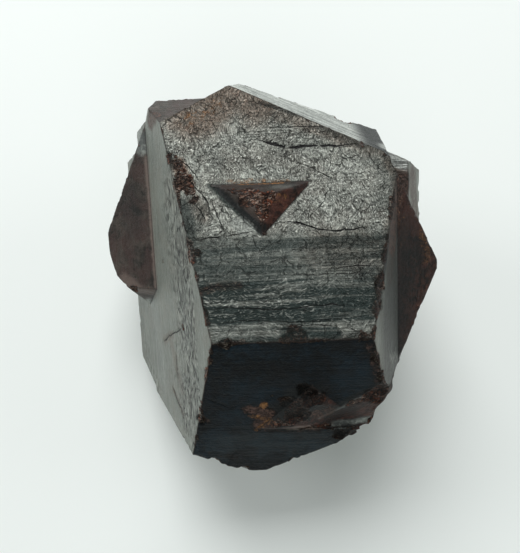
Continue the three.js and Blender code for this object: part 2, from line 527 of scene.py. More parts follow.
# Cracks: the face, half the width in mm, and the line's points. Two numbers are a place on the large
# face.
CRACKS = [
    (TOP, 0.16, (-0.4, 13.5), (1.2, 13.2), (4.1, 12.1), (6.1, 12.2), (9.9, 12.1), (13.8, 12.1)),
    (TOP, 0.06, (4.7, 10.2), (7.4, 9), (10.2, 7.1), (11.5, 6.9)),
    (TOP, 0.08, (-9.3, 11), (-7.7, 9.2), (-6.9, 7.6)),
    (TOP, 0.08, (-8.6, 8.4), (-7, 6.4), (-5.6, 4.4)),
    (TOP, 0.07, (-7.7, 5), (-6.8, 3.6), (-6, 2)),
    (TOP, 0.1, (1.5, 1.2), (2.8, 1.7), (4.3, 1.8), (5.5, 1.6), (7.7, 0.6), (9.8, 0.3), (14.7, 0.6)),
    (TOP, 0.07, (-8.1, 0), (-4.2, 0.2), (-1.3, 0.5), (0.6, 0.7)),
    (TOP, 0.06, (-5.5, 5.6), (-4.9, 3.3), (-4.3, 2.1), (-3.9, 0.7), (-3.9, 0.1)),
    (TOP, 0.05, (6.5, 2), (7.2, 3), (9.1, 4.6)),
    (TOP, 0.05, (13.4, 7.3), (14, 5.6), (15.1, 4.2)),
    (TOP, 0.06, (12.4, 2.3), (13.1, 3.2), (13.9, 4.8)),
    (TOP, 0.06, (1, 15.1), (6, 15), (11.5, 14.9)),
    (TOP, 0.06, (-3.5, 14.2), (3, 14.3), (12, 14.1)),
    (TOP, 0.05, (2.5, 13.5), (8, 13.3), (12.5, 13.2)),
    (TOP, 0.06, (8.3, 14.4), (8.6, 12.3)),
    (TOP, 0.06, (5, 14.2), (4.4, 12.2)),
    (TOP, 0.06, (9, -4.5), (12, -4.3), (14.8, -4.4)),
    (TOP, 0.05, (3.5, -5.1), (8, -5.3), (14, -5.2)),
    (TOP, 0.09, (-7.9, -7.4), (-6.6, -6.7), (-5, -6.2), (-2.6, -6.2), (0.4, -6.3)),
    (TOP, 0.06, (-7.6, -9.3), (-3, -8.9), (2.5, -9.4), (8, -9), (13.2, -9.3)),
    (TOP, 0.05, (-6.9, -10.9), (-1, -10.6), (6, -11.1), (12, -10.5)),
    (TOP, 0.06, (1.5, -11.9), (5.5, -11.4), (9.5, -11.6)),
    (LEFT, 0.11, (-15.1, -9, 16.6), (-13, -8.8, 21.3), (-10.3, -9.3, 27)),
    (LEFT, 0.11, (-13.6, -15.4, 16.6), (-12.6, -18, 17.6), (-11.3, -19.9, 19.4)),
    (LEFT, 0.09, (-11.9, -9.4, 23.4), (-12.3, -12.5, 21.2), (-12.2, -15.8, 19.5)),
    (LEFT, 0.07, (-12.3, 9.8, 32.4), (-11.2, 4, 31.4), (-10.2, -0.5, 31.2), (-9.5, -4, 31.3)),
    (LEFT, 0.06, (-10.4, 1.8, 33.2), (-9.4, -1.6, 33.4), (-8.8, -4.8, 33)),
    (LEFT, 0.07, (-9, -8.2, 31.4), (-8.9, -11.2, 30)),
    (FRONT, 0.04, (-7.5, -18.6, 28.6), (-6.1, -19.2, 27.8), (-4.3, -19.9, 26.8), (-2.9, -19.6, 27.2)),
    (FRONT, 0.04, (-5.4, -26.5, 18.1), (-4.6, -25.6, 19.2), (-3.8, -24.8, 20.2)),
    (FRONT, 0.03, (-3.5, -19, 28), (-2, -20.6, 25.9), (-2.4, -21.8, 24.3)),
]

# Colour: the mask, how strong, how far it reaches, and the points of the line that it follows.
COLOURS = [
    # Rust on the large face: its far corner, its right edge and corner, and by the wedge.
    ("brown", 0.58, 6, (-7.4, 18), (-2.6, 21.4), (1, 19.6)),
    ("shade", 0.22, 5, (-7.4, 18.4), (-2.6, 21.4), (3, 18.6)),
    ("ochre", 0.42, 2, (-8.4, 16.8), (-5, 18.6)),
    ("brown", 0.4, 2.6, (1, 18.6), (9, 14.9), (15, 12)),
    ("brown", 0.45, 1.6, (16.6, 11), (18.2, 7.6), (18, 4)),
    ("shade", 0.6, 1, (16.2, 11.2), (18, 7.6), (17.6, 4.2), (16.9, 1)),
    ("shade", 0.42, 3, (15.6, 11.6), (17.6, 8), (17.2, 4.4)),
    ("brown", 0.35, 1.3, (16.6, 1), (15.4, -4), (14, -10)),
    ("brown", 0.8, 1.3, (-9.7, 10.4), (-8.4, 7.2)),
    ("brown", 0.35, 1.5, (-7.7, 5.4), (-6.6, 3)),
    ("brown", 0.32, 4, (8, -2), (14.5, -2.6)),
    ("brown", 0.6, 0.9, (-7.4, -7.1), (-5, -6.3), (-2.2, -6.3)),
    ("ochre", 0.55, 0.7, (-3.2, 7.5), (1, 7.4), (4.2, 7.2)),
    # Dark edges of the large face.
    ("shade", 0.75, 0.6, (-12.6, 15.4), (-10.6, 10.2)),
    ("shade", 0.8, 0.5, (1, 18.9), (6, 16.9), (11, 14.6), (16, 11.6)),
    ("shade", 0.55, 0.8, (9, 14.9), (12, 13), (15.6, 11.2)),
    ("shade", 0.82, 1.3, (-9, 4.6), (-8.2, 1.4), (-7.7, -2.6), (-7.3, -6.5), (-7, -11)),
    ("shade", 0.45, 1.7, (-8.2, 5), (-7.2, 3.2), (-7.6, 1.6)),
    # The plain light triangle below the upper pyramid.
    ("pale", 0.55, 1.2, (-2.6, 1.9), (-0.9, 1.4), (-1.6, 1)),
    # The front face: a stain with an ochre middle, a rusty seam to the lower pyramid, rust on the left
    # edge, and a lighter lower part.
    ("brown", 0.95, 1.5, (-1.7, -20.2, 26.4), (0.6, -20.6, 25.9), (-0.6, -22, 24)),
    ("ochre", 1, 0.8, (0.1, -19.8, 27)),
    ("ochre", 0.55, 0.6, (-1.9, -20.9, 25.6), (0.9, -21.4, 24.8), (-1.2, -22.6, 23.4)),
    ("brown", 0.6, 0.8, (-1, -22.6, 23.4), (3, -22.6, 23), (7, -22.6, 22.8)),
    ("brown", 0.7, 0.7, (-8.2, -20.6, 25.9), (-7.3, -21.4, 24.8)),
    ("brown", 0.55, 0.9, (-7.6, -25.2, 19.6), (-4.4, -26, 18.8)),
    ("pale", 0.035, 5, (-4, -24.6, 20.6), (7, -24.6, 20.6)),
    # The lower pyramid and the scar.
    ("ochre", 0.22, 0.9, (6.4, -20.6, 27), (8.6, -20.2, 27.2)),
    ("shade", 1, 2.6, (4.6, -18.9, 28.8), (6.2, -19.2, 28.6)),
    ("shade", 1, 3.2, (2.6, -20.8, 26.4), (5.8, -20.8, 26.8)),
    ("brown", 0.45, 1.8, (3.4, -21.6, 25), (7.4, -21.2, 25.6)),
    ("shade", 0.45, 1.6, (8.4, -21, 25.6), (12.4, -20.2, 26), (14.6, -19, 27.6)),
    ("brown", 0.85, 1.9, (6.4, -20.9, 26), (8.2, -20.9, 25.8)),
    ("shade", 0.9, 1.4, (9.6, -23.2, 21.8), (11.6, -22.8, 22), (13, -22.4, 22.4)),
    # Painted light: a highlight along the worn front edge of the lip below the scar, light on the lip
    # itself, and a highlight along the scar's upper edge with a painted shade line above it. The lip is
    # kept free of breakage so that its light shows.
    ("rim", 0.75, 0.5, (2.6, -22.5, 23.9), (6.6, -22.3, 23.2), (8.8, -22.1, 23.1)),
    ("pale", 1, 0.9, (8.8, -22.1, 22.9), (11.2, -21.9, 22.5), (13.6, -21.6, 22.2)),
    ("pale", 1, 0.34, (14.8, -18.2, 28.8), (11.2, -19.8, 26.9), (9.2, -20.6, 25.9), (7.2, -21.4, 24.9)),
    ("shade", 0.95, 0.5, (14.8, -17.9, 29.6), (12.8, -18.6, 28.6), (11, -19.3, 27.7), (9.1, -20.2, 26.5)),
    ("broken", -1, 0.8, (9.8, -22.2, 22.9), (13.6, -21.8, 22.6)),
    ("pale", 0.75, 0.4, (12.9, -22.4, 22.9), (9, -22.5, 23.3), (3, -22.5, 23.3)),
    # The front face's rusty right edge.
    ("brown", 0.75, 1, (13, -13.9, 34.8), (14, -16.4, 31.5), (14.7, -18, 29.4)),
    # The left side: a light front, and brown dust along its cracks.
    ("pale", 0.45, 3.4, (-16, -4, 15.4), (-15, -14, 13)),
    ("shade", 0.3, 4.5, (-9.6, 0, 32.6), (-9.6, -9, 29.6), (-9.6, -16, 26), (-10.6, -20, 20.6)),
    ("brown", 0.42, 1, (-14.6, -9, 17.6), (-12.6, -8.9, 22)),
    ("brown", 0.45, 0.8, (-13.4, -15.9, 16.8), (-11.5, -19.6, 19.1)),
    ("brown", 0.38, 1.8, (-12.8, -10.5, 20.5), (-11.5, -16.5, 21)),
    # The left lens: its pink inner rim, its worn lower end and its pale upper end.
    ("rim", 0.6, 0.7, (-15.7, 15.8, 27.6), (-15.6, 7.8, 23.7), (-15.6, -1.2, 19.2)),
    ("rim", 0.42, 1.5, (-20.9, 0.8, 17.2), (-18.6, -0.9, 17.4), (-16.6, -1.5, 18)),
    ("pale", 0.85, 1.1, (-17.6, -2.2, 14.8), (-16.2, -2.6, 15.8)),
    ("pale", 1, 1.7, (-17.8, 21, 26.2), (-16.4, 18.6, 28.2), (-16.2, 17.6, 27.6)),
    ("shade", 0.35, 3, (-19.6, 14, 24.4), (-19, 8, 21.6)),
    # The upper left ridge's red foot.
    ("brown", 0.9, 2, (-14.3, 19.1, 32.2), (-13.3, 18.6, 34)),
    ("shade", 0.4, 2, (-14.3, 19.1, 32.2), (-13.3, 18.6, 34)),
    # The upper right ledge: darker towards its right end.
    ("shade", 1, 5.4, (17.6, 12.5, 33.2), (17.2, 15.4, 31), (16.8, 18.6, 28.4)),
    ("pale", 0.3, 1.6, (5, 19.4, 32.8), (11, 16.4, 32.8)),
    # The notch and the rear right ledge: the painted shade, breaks and low-spot shade come off the light
    # upper facet, and the recess below it gets rust and painted shade.
    ("shade", -1.5, 2.6, (18.4, 12.1, 32.2), (21.2, 11.3, 31.6)),
    ("broken", -1, 1.7, (17.8, 12.1, 32.3), (21.2, 11.3, 31.6)),
    ("sunk", -1, 1.7, (17.8, 12.1, 32.3), (21.2, 11.3, 31.6)),
    ("brown", 0.9, 1.5, (18.6, 9.8, 31.1), (20.3, 9.2, 30.8), (19.8, 8, 30.3)),
    ("shade", 0.85, 1.5, (18.6, 9.8, 31.1), (20.3, 9.2, 30.8), (19.8, 8, 30.3)),
    ("brown", 0.75, 2.6, (21.8, 10.4, 29), (22.6, 6.6, 26)),
    ("shade", 0.25, 2.6, (21.8, 10.4, 29), (22.6, 6.6, 26)),
    # The right side has painted shade, darker than the left, and is rusty above.
    ("shade", 0.78, 8, (17.2, 0, 32), (16.4, -8, 30), (16.6, -15, 27)),
    ("brown", 0.95, 2.6, (17.8, 7, 35.2), (17.4, 2.4, 34.4), (17, -1.4, 33.8)),
    ("brown", 0.5, 2.4, (17, -1, 33.8), (16.4, -5, 33.2)),
    ("shade", 0.92, 2.2, (17.8, 7, 35.2), (17.4, 2.4, 34.4), (17.1, 0, 34)),
    # The crumbled edge of the large face's right side is dark.
    ("shade", 0.7, 0.7, (16.4, 0.5), (15.3, -3.4), (14.3, -7), (13.8, -10)),
    ("shade", 0.95, 1.1, (16.9, 1, 35.4), (15.8, -3.4, 35.3), (14.8, -7, 35.3), (14.1, -9.8, 35.2)),
    # The upper pyramid's top: brown at the left, grey-green at the right, and an orange upper edge.
    ("brown", 0.5, 0.9, (-3.6, 6.7, 36), (-0.4, 6.2, 36.4)),
    ("pale", 0.16, 0.7, (2.4, 6.2, 36.4), (4.8, 6.3, 36.3)),
    ("shade", 0.5, 1.1, (-3, 6.4, 36.2), (6, 6.5, 35.9)),
    ("ochre", 0.8, 0.45, (-2.2, 7.2, 35.7), (1, 7.1, 35.7), (3.6, 7.1, 35.7)),
    ("ochre", 0.42, 1.2, (1.8, 4.4, 36.6), (3.6, 4.6, 36.6)),
    # Dark rust along the front edge of the large face.
    ("shade", 0.75, 0.75, (-6.4, -13.2), (0, -13.3), (6, -13.2), (13.4, -13.2)),
    ("shade", 1, 1.2, (3, -12.2), (9, -12.4)),
    ("brown", 0.35, 0.8, (4, -13.4), (9, -13.3), (13.2, -13)),
    # The upper pyramid's dark left edge.
    ("shade", 1, 1.1, (-4.9, 6.4, 35.7), (-2.4, 3.8, 35.7), (0.6, 0.9, 35.7)),
    ("shade", 0.9, 0.55, (-5.6, 7.1), (-2.6, 3.8), (0.8, 0.3)),
    # The right lens's rust, and the strip beside it.
    ("ochre", 0.42, 1.2, (21.4, 2, 30.6), (22.2, -1.6, 28.8)),
    ("ochre", 0.26, 2, (18.6, 4, 34), (18.4, 0, 32)),
]


def wear_of(outward):
    """How strongly an edge that looks this way is worn."""
    for first, second, strength in WORN_EDGES:
        mean = to_part(first) + to_part(second)
        if outward @ (mean / np.linalg.norm(mean)) > SAME_WAY:
            return strength
    return USUAL_WEAR


def wear_edges(body):
    """Rounds every standing edge a little and breaks small chips out of it."""
    random = np.random.default_rng(11)
    rounding = np.clip(1 - body.ridge / ROUNDING_REACH, 0, 1) ** 2
    unevenness = 0.6 + 0.4 * cloud(body.rest, 1.4, 21)
    body.points -= (ROUNDING_DEPTH * rounding * unevenness)[:, None] * body.outward
    for first, second, outward, turn in body.edges:
        if turn < CHIPPED_TURN:
            continue
        strength = wear_of(outward) * (0.5 if outward[2] < 0 else 1.0)
        length = np.linalg.norm(second - first)
        for place in random.uniform(0, 1, int(length / CHIP_SPACING * strength**0.5) + 1):
            radius = (0.3 + 0.9 * random.random() ** 2) * strength**0.5
            depth = radius * random.uniform(0.08, 0.24) * strength**0.3
            tilted = outward + random.normal(0, 0.25, 3)
            centre = first + (second - first) * place
            around = body.near(centre, 0.6 * radius)
            if len(around) and body.valley[around].min() < 0.2:
                continue
            chip(body, centre, tilted, radius, depth, random.integers(1000))


# The lip below the scar: the front edge of the hollow there, and the way that the lip looks.
LIP = [(4.6, -22.51, 23.3), (13.6, -22.45, 23.2)]
LIP_LOOKS = (0.15, -0.45, 0.89)
LIP_REACH = 2.4


def break_pieces_off(body):
    """Fills the lip below the scar, then takes the larger breaks out."""
    fill(body, LIP_REACH, LIP, LIP_LOOKS)
    breaks = [(place, outward, rough) for outward, rough, *places in BREAKS for place in places]
    for number, ((*centre, radius, depth), outward, rough) in enumerate(breaks):
        chip(body, np.array(centre), np.array(outward), radius, depth, 200 + number, rough)


def shade_large_face(body):
    """The large face darkens in bands towards the front ridge, and its growth lines deepen."""
    top = body.on_face(TOP)
    ahead = -body.rest[:, 1] + 0.5 * cloud(body.rest * (0.3, 1, 1), 2.2, 61)
    front = rise(ahead, -1.2, 0.8)
    smooth = rise(ahead, 5, 7) * (1 - 0.5 * rise(body.rest[:, 0], 5, 12))
    ridge = rise(ahead, 10.6, 11.6)
    bands = 0.5 + 0.5 * cloud(body.rest * (0.06, 1, 1), 1.5, 63)
    dark = 0.83 * front + 0.4 * smooth * bands - 0.35 * ridge
    body.shade[top] += np.clip(dark, 0, 1)[top]
    body.lined[top] = (0.45 * front + 0.55 * smooth * (1 - 0.6 * ridge))[top]


# How deep growth lines are on any face, and how much deeper where they are marked (mm).
FAINT_LINES = 0.03
DEEP_LINES = 0.16


def press_growth_lines(body):
    """Presses growth lines into every face: faint ones, and deep ones where the lines are marked."""
    inside = rise(np.minimum(body.ridge, body.valley), 0.0, 0.7)
    bend = 0.5 * cloud(body.rest, 4.0, 33, 2)
    line = body.lay(body.rest, body.plane) * (0.1, 0.9, 1)
    line[:, 1] += bend
    wave = cloud(line, 1.0, 31)
    depth = FAINT_LINES + DEEP_LINES * body.lined
    body.points += (inside * depth * wave)[:, None] * body.outward


# How broken the faces are that are all breakage, and how high the lumps on breaks and how deep the
# hollows in the broken corners are (mm).
ALL_BROKEN = 0.8
LUMP_HEIGHT = 0.26
HOLLOW_DEPTH = 0.75


def roughen_breaks(body):
    """Gives the broken places small hard lumps, with painted shade in their low spots, and the broken
    corners wide hollows as well.
    """
    inside = rise(np.minimum(body.ridge, body.valley), 0.0, 1.5)
    hollows = HOLLOW_DEPTH * inside * (cloud(body.rest, 5.0, 73, 3) - 0.2)
    body.broken[body.on_face(SCAR)] = ALL_BROKEN
    for direction in BROKEN_CORNERS:
        corner = body.on_face(direction)
        body.broken[corner] = ALL_BROKEN
        body.points[corner] += hollows[corner, None] * body.outward[corner]
    lumps = 0.6 - 1.2 * np.abs(cloud(body.rest, 1.5, 71, 2)) + 0.5 * cloud(body.rest, 0.6, 77, 2)
    body.points += (LUMP_HEIGHT * body.broken * lumps)[:, None] * body.outward
    # Painted shade in the low spots between the lumps of every break.
    body.sunk = 0.85 * body.broken * rise(-lumps, -0.05, 0.45)


def stain_underside(body):
    """Soft rust stains on the faces that look even a little downwards."""
    below = (body.planes[:, 2] < -0.01)[body.plane]
    stains = 0.62 * rise(cloud(body.rest, 9.0, 95), 0.05, 0.6)
    body.brown[below] = np.maximum(body.brown, stains)[below]


# The zone of fine wrinkles down the left side, close to the large face's left edge.
WRINKLED = [(-9, 4, 34.6), (-8.9, -10, 30.6), (-8.6, -16, 27.8), (-9.6, -20.6, 22.6)]


def wrinkle_faces(body):
    """Fine wrinkles on the left side's upper edge, and here and there on every other face."""
    body.wrinkled = rise(cloud(body.rest, 7.0, 81), 0.35, 0.8) * 0.7
    top = body.on_face(TOP)
    body.wrinkled[top] = 0.5 * rise(cloud(body.rest, 5.0, 83), -0.1, 0.5)[top]
    paint(body, "wrinkled", 1.0, 8.5, WRINKLED, LEFT)


def mark_body(body):
    """Everything that has happened to the crystal, in the order that it happened."""
    shade_large_face(body)
    press_growth_lines(body)
    for face, width, *line in CRACKS:
        split(body, face, width, line)
    break_pieces_off(body)
    wear_edges(body)
    roughen_breaks(body)
    for mask, strength, reach, *line in COLOURS:
        paint(body, mask, strength, reach, line)
    stain_underside(body)
    wrinkle_faces(body)


# ---- The mesh takes its shape and marks ----


def write_attributes(mesh, body):
    """Stores the body's marks on the mesh's points, where the skins read them."""
    for name in MASKS:
        attribute = mesh.attributes.new(name, "FLOAT", "POINT")
        attribute.data.foreach_set("value", getattr(body, name).astype(np.float32))


def write_lay(mesh, body):
    """Gives each facet corner its place along and across its own face's growth lines, in mm."""
    lay = body.lay(body.rest[body.facets.ravel()], np.repeat(body.facet_plane, 3))
    attribute = mesh.attributes.new("lay", "FLOAT_VECTOR", "CORNER")
    attribute.data.foreach_set("vector", lay.astype(np.float32).ravel())


def choose_skins(mesh, body):
    """Sets each facet's material number from the way its plane looks."""
    directions = [to_part(way) for name in SKIN_NAMES for way in SKIN_FACES[name]]
    owners = [number for number, name in enumerate(SKIN_NAMES) for way in SKIN_FACES[name]]
    best = np.argmax(body.planes @ np.array(directions).T, axis=1)
    skins = np.array(owners)[best]
    mesh.polygons.foreach_set("material_index", skins[body.facet_plane].astype(np.int32))


# ---- Shader pieces ----


class Nodes:
    """Makes and joins one material's nodes. Each call returns the new node's result."""

    def __init__(self, tree):
        self.tree = tree

    def add(self, kind, inputs, result=0, **settings):
        """A node of this kind. Its inputs are fixed values or other nodes' results."""
        made = self.tree.nodes.new(kind)
        for name, value in settings.items():
            setattr(made, name, value)
        for key, value in inputs.items():
            if isinstance(value, bpy.types.NodeSocket):
                self.tree.links.new(value, made.inputs[key])
            elif value is not None:
                made.inputs[key].default_value = value
        return made.outputs[result] if len(made.outputs) else None

    def mark(self, name):
        """One of the mesh's own numbers, such as how broken it is there."""
        return self.add("ShaderNodeAttribute", {}, "Fac", attribute_name=name)

    def math(self, operation, first, second=None, third=None):
        """The result of a sum on one to three numbers."""
        inputs = {0: first, 1: second, 2: third}
        return self.add("ShaderNodeMath", inputs, operation=operation)

    def scaled(self, value, factor, plus=None):
        """The value times the factor, and plus something more if that is given."""
        return self.math("MULTIPLY" if plus is None else "MULTIPLY_ADD", value, factor, plus)

    def greatest(self, first, second):
        """The greater of two numbers."""
        return self.math("MAXIMUM", first, second)

    def step(self, value, low, high, bottom=0, top=1):
        """bottom below low, top above high, and a smooth step between."""
        inputs = {"Value": value, "From Min": low, "From Max": high, "To Min": bottom, "To Max": top}
        return self.add("ShaderNodeMapRange", inputs, interpolation_type="SMOOTHSTEP")

    def mix(self, share, first, second):
        """The second colour over the first one, by this share."""
        inputs = {0: share, 6: first, 7: second}
        return self.add("ShaderNodeMix", inputs, 2, data_type="RGBA")

    def blend(self, share, first, second):
        """The second number in place of the first one, by this share."""
        return self.add("ShaderNodeMix", {0: share, 2: first, 3: second})

    def noise(self, vector, scale, detail=3, roughness=0.55, distortion=0):
        """Soft noise with this many lumps to a unit of length."""
        inputs = dict(Vector=vector, Scale=scale, Detail=detail, Roughness=roughness, Distortion=distortion)
        return self.add("ShaderNodeTexNoise", inputs)

    def stretch(self, vector, factors):
        """The vector or colour with each of its parts multiplied."""
        return self.add("ShaderNodeVectorMath", {0: vector, 1: factors}, operation="MULTIPLY")

    def sway(self, vector, scale, amount):
        """The vector pushed about by soft noise."""
        push = self.add("ShaderNodeTexNoise", {"Vector": vector, "Scale": scale, "Detail": 1}, 1)
        push = self.add("ShaderNodeVectorMath", {0: push, 1: (0.5, 0.5, 0.5)}, operation="SUBTRACT")
        push = self.stretch(push, (amount, amount, amount))
        return self.add("ShaderNodeVectorMath", {0: vector, 1: push}, operation="ADD")


class Skin(Nodes):
    """One skin's nodes, with the places (in mm) and the noises that several of its layers share."""

    def __init__(self, tree, look):
        super().__init__(tree)
        self.place = self.stretch(self.add("ShaderNodeTexCoord", {}, "Object"), (1 / MM, 1 / MM, 1 / MM))
        self.lay = self.add("ShaderNodeAttribute", {}, "Vector", attribute_name="lay")
        self.swayed = self.sway(self.lay, 0.24, 4)
        self.lined = self.mark("lined")
        self.mottling = self.noise(self.place, 1.1, 4, 0.6, 0.6)
        self.ragged = self.scaled(self.noise(self.place, 1.7, 5, 0.7, 0.8), 1.6, -0.8)
        self.lines = self.noise(self.stretch(self.lay, look.line_stretch), 1, 3, 0.6, 0.3)
        round_grain = self.noise(self.stretch(self.lay, look.grain_stretch), look.grain, 3, 0.65, 1.2)
        long_grain = self.noise(self.stretch(self.lay, (0.62, 1.2, 1)), look.grain, 3, 0.65, 1.4)
        self.grain = self.blend(self.lined, round_grain, long_grain)
        upright = self.noise(self.stretch(self.swayed, look.fleck_stretch), 1, 2, 0.55, 0.3)
        level = self.noise(self.stretch(self.swayed, (2.2, 5, 1)), 1, 2, 0.55, 0.3)
        self.flecks = self.blend(self.lined, upright, level)


# ---- The layers of a skin ----

# Black for cracks, and for the painted shade in hollows and along valleys.
BLACK = (0.006, 0.006, 0.006, 1)
# The pink rims' colour, which along the lip's edge is a painted highlight.
RIM = (0.23, 0.178, 0.152, 1)
# The pale colour, which on the lip and along the scar's upper edge is painted light.
PALE = (0.39, 0.42, 0.385, 1)
# Rust's darkest and lightest colours, and what a thin film of it leaves of the colour below.
BROWNS = (0.014, 0.008, 0.006, 1), (0.16, 0.095, 0.075, 1)
OCHRES = (0.06, 0.026, 0.01, 1), (0.33, 0.16, 0.055, 1)
THIN_RUST = (0.66, 0.485, 0.42)


def clean(skin, look):
    """The unbroken skin's colour: patches, mottling, grain and lines, then blush, painted glints, pits,
    painted shade, and the places that are pale, some of them painted light."""
    tone = skin.scaled(skin.noise(skin.place, 0.16, 2), look.patch, -0.5 * look.patch)
    tone = skin.scaled(skin.mottling, look.mottle, tone)
    tone = skin.scaled(skin.grain, look.grain_tone, tone)
    tone = skin.scaled(skin.lines, look.line_tone, tone)
    streaks = skin.noise(skin.stretch(skin.lay, (0.45, 5.5, 1)), 1, 2)
    tone = skin.scaled(skin.scaled(streaks, 2.2, -1.1), skin.lined, tone)
    middle = 0.5 * (look.mottle + look.grain_tone + look.line_tone)
    tone = skin.step(tone, middle - 0.5, middle + 0.5)
    colour = skin.mix(tone, look.dark, look.light)
    blush = skin.step(skin.noise(skin.place, 0.3, 3, 0.6, 0.6), 0.42, 0.62, 0, look.blush)
    colour = skin.mix(blush, colour, look.blush_tone)
    glints = skin.step(skin.flecks, 0.53, 0.72)
    pits = skin.step(skin.flecks, 0.48, 0.32)
    colour = skin.mix(skin.scaled(glints, look.glint), colour, look.glint_tone)
    colour = skin.mix(skin.scaled(pits, look.pitted), colour, look.dark)
    stripes = skin.noise(skin.stretch(skin.lay, (0.05, 0.75, 1)), 1, 4, 0.65, 0.4)
    bands = skin.blend(skin.lined, 1, skin.step(stripes, 0.4, 0.58, 0.55, 1.2))
    colour = skin.mix(skin.scaled(skin.mark("shade"), bands), colour, look.shadow)
    # Painted glints again on the lined part, over its painted shade.
    spared = skin.scaled(glints, skin.scaled(skin.lined, 0.3 * look.glint))
    colour = skin.mix(spared, colour, look.glint_tone)
    # The pale places, which on the lip and along the scar's edge are painted light, and the pink rims,
    # which along the lip's edge are a painted highlight.
    colour = skin.mix(skin.mark("pale"), colour, skin.mix(tone, look.pale_dark, PALE))
    return skin.mix(skin.mark("rim"), colour, RIM)


def rusted(skin, colour):
    """The colour with brown and ochre rust in ragged patches, and where it is brown."""
    rust = skin.mark("brown")
    tint = skin.step(skin.scaled(skin.ragged, 0.4, rust), 0, 0.8)
    colour = skin.mix(tint, colour, skin.stretch(colour, THIN_RUST))
    brown = skin.step(skin.math("ADD", rust, skin.ragged), 0.55, 1.15)
    ochre = skin.step(skin.math("ADD", skin.mark("ochre"), skin.ragged), 0.3, 0.85)
    spots = skin.step(skin.grain, 0.36, 0.66)
    colour = skin.mix(brown, colour, skin.mix(spots, *BROWNS))
    return skin.mix(ochre, colour, skin.mix(spots, *OCHRES)), brown


def crumbled(skin, look, colour):
    """The colour with its broken places and painted glints on their crumbs, painted shade in hollows and
    along valleys, and worn edges, then how broken it is, and where the crumbs are."""
    crumbs = skin.step(skin.noise(skin.place, 3.2, 3, 0.6, 0.5), 0.42, 0.62)
    fresh = skin.step(skin.scaled(skin.ragged, 0.6, skin.mark("broken")), 0.3, 0.8)
    inside = skin.mix(crumbs, look.broken_dark, look.broken_light)
    rusty = skin.step(skin.noise(skin.place, 0.8, 3, 0.6, 0.5), 0.45, 0.62)
    inside = skin.mix(rusty, inside, skin.stretch(inside, (1.5, 0.95, 0.75)))
    # Painted glints on the crumbs, in clusters.
    sparks = skin.noise(skin.stretch(skin.place, (0.6, 1.5, 1.1)), 2.7, 2, 0.6, 0.8)
    clusters = skin.step(skin.noise(skin.place, 0.42, 3), 0.4, 0.58, 0.1)
    sparks = skin.scaled(skin.step(sparks, 0.54, 0.66), clusters)
    inside = skin.mix(sparks, inside, look.broken_glint)
    inside = skin.mix(skin.scaled(skin.mark("shade"), 0.8), inside, look.shadow)
    colour = skin.mix(fresh, colour, inside)
    # Painted shade in the low spots of the breaks.
    colour = skin.mix(skin.mark("sunk"), colour, BLACK)
    # Painted shade along the valleys.
    valley = skin.step(skin.scaled(skin.ragged, 0.15, skin.mark("valley")), 0, 0.22, 0.7, 0)
    colour = skin.mix(valley, colour, BLACK)
    ridge = skin.step(skin.scaled(skin.ragged, 0.2, skin.mark("ridge")), 0, 0.25, 0.55, 0)
    return skin.mix(ridge, colour, look.edge), fresh, crumbs


def cracked(skin, look, colour):
    """The colour with wrinkles, painted highlights on the wrinkles' crests, a net of hair cracks and the
    long cracks, and where the wrinkles and cracks are.
    """
    wrinkled = skin.mark("wrinkled")
    folds = skin.noise(skin.stretch(skin.swayed, look.fold_stretch), 1, 2, 0.5, 0.4)
    # Painted highlights along the wrinkles' crests.
    lit_crests = skin.scaled(skin.step(folds, 0.54, 0.66, 0, look.crested), wrinkled)
    colour = skin.mix(lit_crests, colour, look.crest)
    folds = skin.scaled(skin.step(folds, look.fold_from, look.fold_from - 0.06), wrinkled)
    cells = {"Vector": skin.sway(skin.lay, 0.8, 1.3), "Scale": 0.42}
    net = skin.add("ShaderNodeTexVoronoi", cells, feature="DISTANCE_TO_EDGE")
    net = skin.scaled(skin.step(net, 0.008, 0.035, look.crackle, 0), skin.step(skin.lined, 0, 1, 1, 0.3))
    net = skin.scaled(net, skin.step(skin.noise(skin.place, 0.45, 2), 0.46, 0.56))
    wobble = skin.scaled(skin.noise(skin.place, 4), 0.14, -0.07)
    gap = skin.math("ABSOLUTE", skin.math("ADD", skin.mark("crack"), wobble))
    gap = skin.step(skin.math("SUBTRACT", skin.mark("crack_width"), gap), 0, 0.05)
    crack = skin.greatest(skin.greatest(gap, skin.scaled(folds, 0.85)), net)
    return skin.mix(crack, colour, BLACK), crack


def skin_material(name, look):
    """One skin's material: its layers of colour, and its roughness and bump."""
    material = bpy.data.materials.new(name)
    material.use_nodes = True
    material.node_tree.nodes.clear()
    skin = Skin(material.node_tree, look)
    colour, brown = rusted(skin, clean(skin, look))
    colour, fresh, crumbs = crumbled(skin, look, colour)
    colour, crack = cracked(skin, look, colour)
    rough = skin.scaled(skin.grain, look.rough_range, look.rough - 0.5 * look.rough_range)
    rough = skin.scaled(skin.greatest(skin.greatest(fresh, brown), crack), 0.15, rough)
    height = skin.scaled(skin.grain, look.grain_depth)
    height = skin.scaled(skin.lines, look.line_depth, height)
    height = skin.scaled(skin.mottling, look.mottle_depth, height)
    height = skin.scaled(skin.flecks, look.fleck_depth, height)
    height = skin.scaled(skin.scaled(fresh, crumbs), 0.35, height)
    height = skin.scaled(crack, -0.3, height)
    shader = skin.add("ShaderNodeBsdfPrincipled", {
        "Base Color": colour,
        "Roughness": rough,
        "Metallic": look.metallic,
        "Specular IOR Level": look.specular,
        "Normal": skin.add("ShaderNodeBump", {"Height": height, "Strength": 1, "Distance": MM}, "Normal"),
    })
    skin.add("ShaderNodeOutputMaterial", {"Surface": shader})
    return material


# ---- The looks of the skins ----

